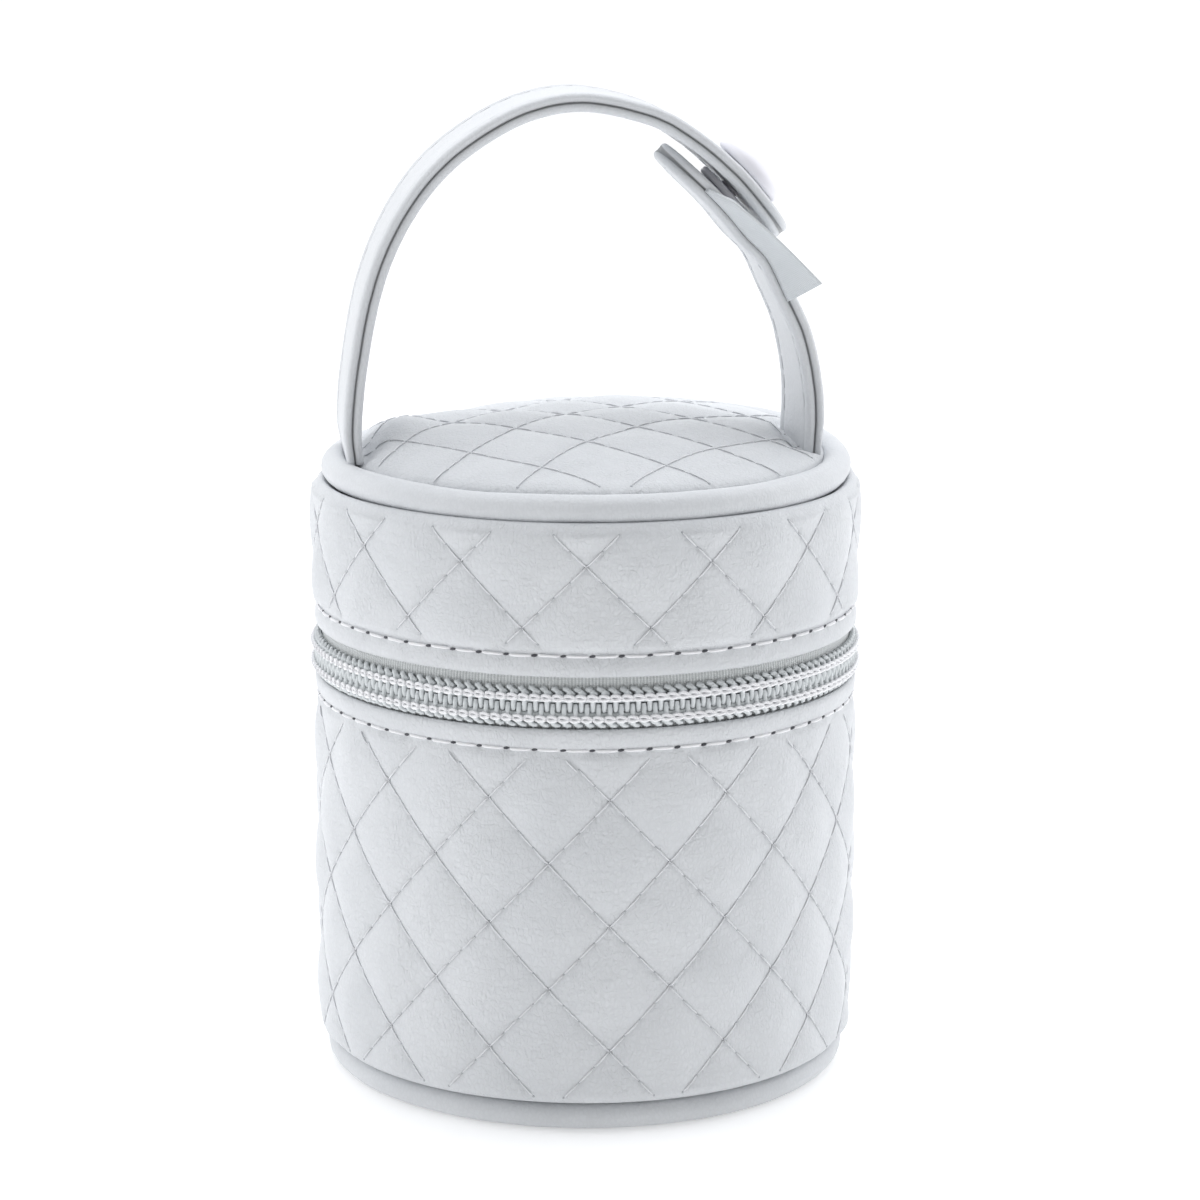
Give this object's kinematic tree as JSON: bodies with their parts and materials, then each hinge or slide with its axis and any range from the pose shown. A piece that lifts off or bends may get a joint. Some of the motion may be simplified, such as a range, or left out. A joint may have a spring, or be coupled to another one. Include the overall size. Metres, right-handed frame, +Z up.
{
  "type": "pacifier case",
  "caption": "Round quilted zip-up case for soothers, padded base and lid joined by a coil zip and a back hinge, with a snap-strap handle over the lid.",
  "frame": {"origin": "centre of the flat underside that the case stands on", "axes": "+Z up, front towards -Y, the strap handle stands in the XZ plane with its snap towards +X"},
  "size_m": [0.0812, 0.0812, 0.1443],
  "materials": {
    "quilted_faux_leather": "padded faux leather with fine wrinkled grain, diamond quilted",
    "faux_leather": "smooth soft faux leather",
    "zip_tape": "ribbed woven tape",
    "zip_coil": "nylon coil sewn with white thread",
    "slider_enamel": "pale grey enamel",
    "snap_plastic": "smooth white plastic",
    "satin_ribbon": "bare satin ribbon"
  },
  "bodies": {
    "root": {"base_panel": "faux_leather", "base_piping": "faux_leather", "base_wall": "quilted_faux_leather", "zipper_tape_lower": "zip_tape", "zipper_tape_upper": "zip_tape", "zipper_coil_lower": "zip_coil", "zipper_coil_upper": "zip_coil", "zipper_slider": "slider_enamel", "back_hinge": "faux_leather", "lid_wall": "quilted_faux_leather", "lid_piping": "faux_leather", "lid_panel": "quilted_faux_leather", "strap_long": "faux_leather", "strap_short": "faux_leather", "snap_cap": "snap_plastic", "snap_socket": "snap_plastic", "snap_stud": "snap_plastic", "ribbon_label": "satin_ribbon"}
  },
  "joints": []
}
